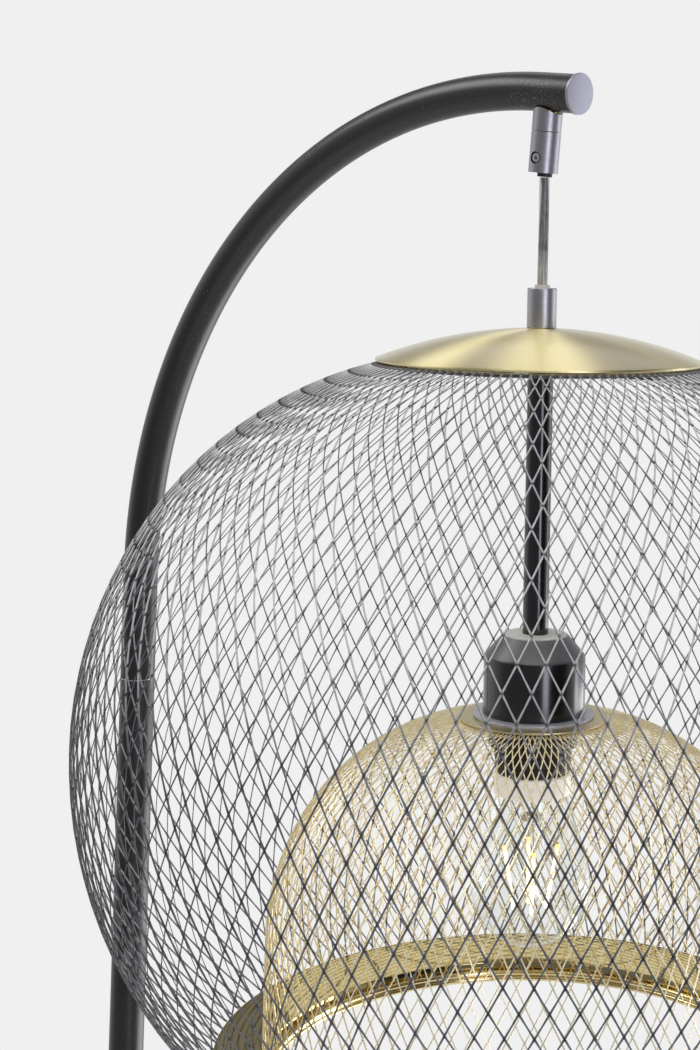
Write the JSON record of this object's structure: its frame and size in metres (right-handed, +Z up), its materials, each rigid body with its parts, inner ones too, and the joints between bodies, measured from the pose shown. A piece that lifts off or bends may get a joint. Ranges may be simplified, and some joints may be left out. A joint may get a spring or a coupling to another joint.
{
  "type": "floor lamp",
  "caption": "Arched black tube floor lamp on a round weighted base, with a large mesh globe shade hung on a short cable round a gold mesh bell and a filament bulb.",
  "frame": {"origin": "on the floor under the pole, at the centre of the base's underside", "axes": "+Z up along the pole, +X along the arch towards the hanging shade"},
  "size_m": [0.6783, 0.4475, 1.55],
  "materials": {
    "black_coat": "satin powder coat",
    "black_satin": "satin",
    "black_mesh": "satin powder coat",
    "gunmetal": "turned satin",
    "brushed_brass": "brushed satin",
    "gold_mesh": "satin plate",
    "gold_plate": "satin plate",
    "polished_brass": "polished",
    "raw_brass": "turned",
    "flange_grey": "satin",
    "bare_steel": "zinc plated",
    "cast_weight": "raw cast",
    "felt": "felt",
    "black_nylon": "moulded",
    "black_plastic": "moulded",
    "white_plastic": "moulded",
    "lead_sheath": "PVC sheath",
    "smoky_pvc": "smoky clear",
    "clear_glass": "clear",
    "filament": "warm phosphor"
  },
  "bodies": {
    "stand": {"base_pad": "felt", "base_weight": "cast_weight", "base_cover": "black_coat", "lead_grommet": "black_nylon", "base_stud": "bare_steel", "base_washer": "bare_steel", "base_nut": "bare_steel", "pole_lower": "black_coat", "pole_upper": "black_coat", "pole_foot_plug": "bare_steel", "pole_spigots": "bare_steel", "arch_tube": "black_coat", "arch_end_cap": "gunmetal", "pole_lead": "lead_sheath", "hanger_nut": "raw_brass", "hanger_nipple": "raw_brass", "hanger_saddle": "gunmetal", "cord_grip": "gunmetal", "grip_screw": "bare_steel", "grip_collar": "black_nylon"},
    "cord": {"suspension_cord": "smoky_pvc"},
    "coupler": {"coupler_collar": "black_nylon", "coupler_body": "gunmetal", "coupler_screw": "bare_steel"},
    "shade": {"shade_cap": "brushed_brass", "outer_mesh": "black_mesh", "mesh_top_ring": "black_coat", "shade_spider": "black_coat", "cap_spacer": "bare_steel", "down_rod": "black_satin", "holder_cup": "black_satin", "cup_nut": "bare_steel", "holder_flange": "flange_grey", "inner_top_ring": "gold_plate", "holder_body": "black_plastic", "holder_ring": "black_plastic", "holder_shell": "raw_brass", "lamp_pipe": "bare_steel", "holder_contact": "raw_brass", "inner_mesh": "gold_mesh", "inner_bottom_ring": "polished_brass", "bottom_plate": "gold_plate"},
    "bulb": {"bulb_glass": "clear_glass", "bulb_collar": "white_plastic", "bulb_cap": "bare_steel", "bulb_insulator": "black_plastic", "bulb_contact": "raw_brass", "bulb_stem": "clear_glass", "bulb_filaments": "filament"}
  },
  "joints": [
    {"name": "cable_swing_fore_aft", "type": "hinge", "parent": "stand", "child": "cord", "pos_m": [0.30237, 0.00155, 1.49542], "axis": [0, 1, 0], "range_deg": [-10, 10], "deforming": ["suspension_cord"]},
    {"name": "shade_swing_sideways", "type": "hinge", "parent": "cord", "child": "coupler", "pos_m": [0.30237, 0.00155, 1.44102], "axis": [1, 0, 0], "range_deg": [-10, 10], "deforming": ["suspension_cord"]},
    {"name": "shade_twist", "type": "hinge", "parent": "coupler", "child": "shade", "pos_m": [0.30237, 0.00155, 1.42], "axis": [0, 0, 1], "range_deg": [-90, 90]},
    {"name": "bulb_out", "type": "slide", "parent": "shade", "child": "bulb", "axis": [0, 0, -1], "range_m": [0, 0.028]}
  ]
}
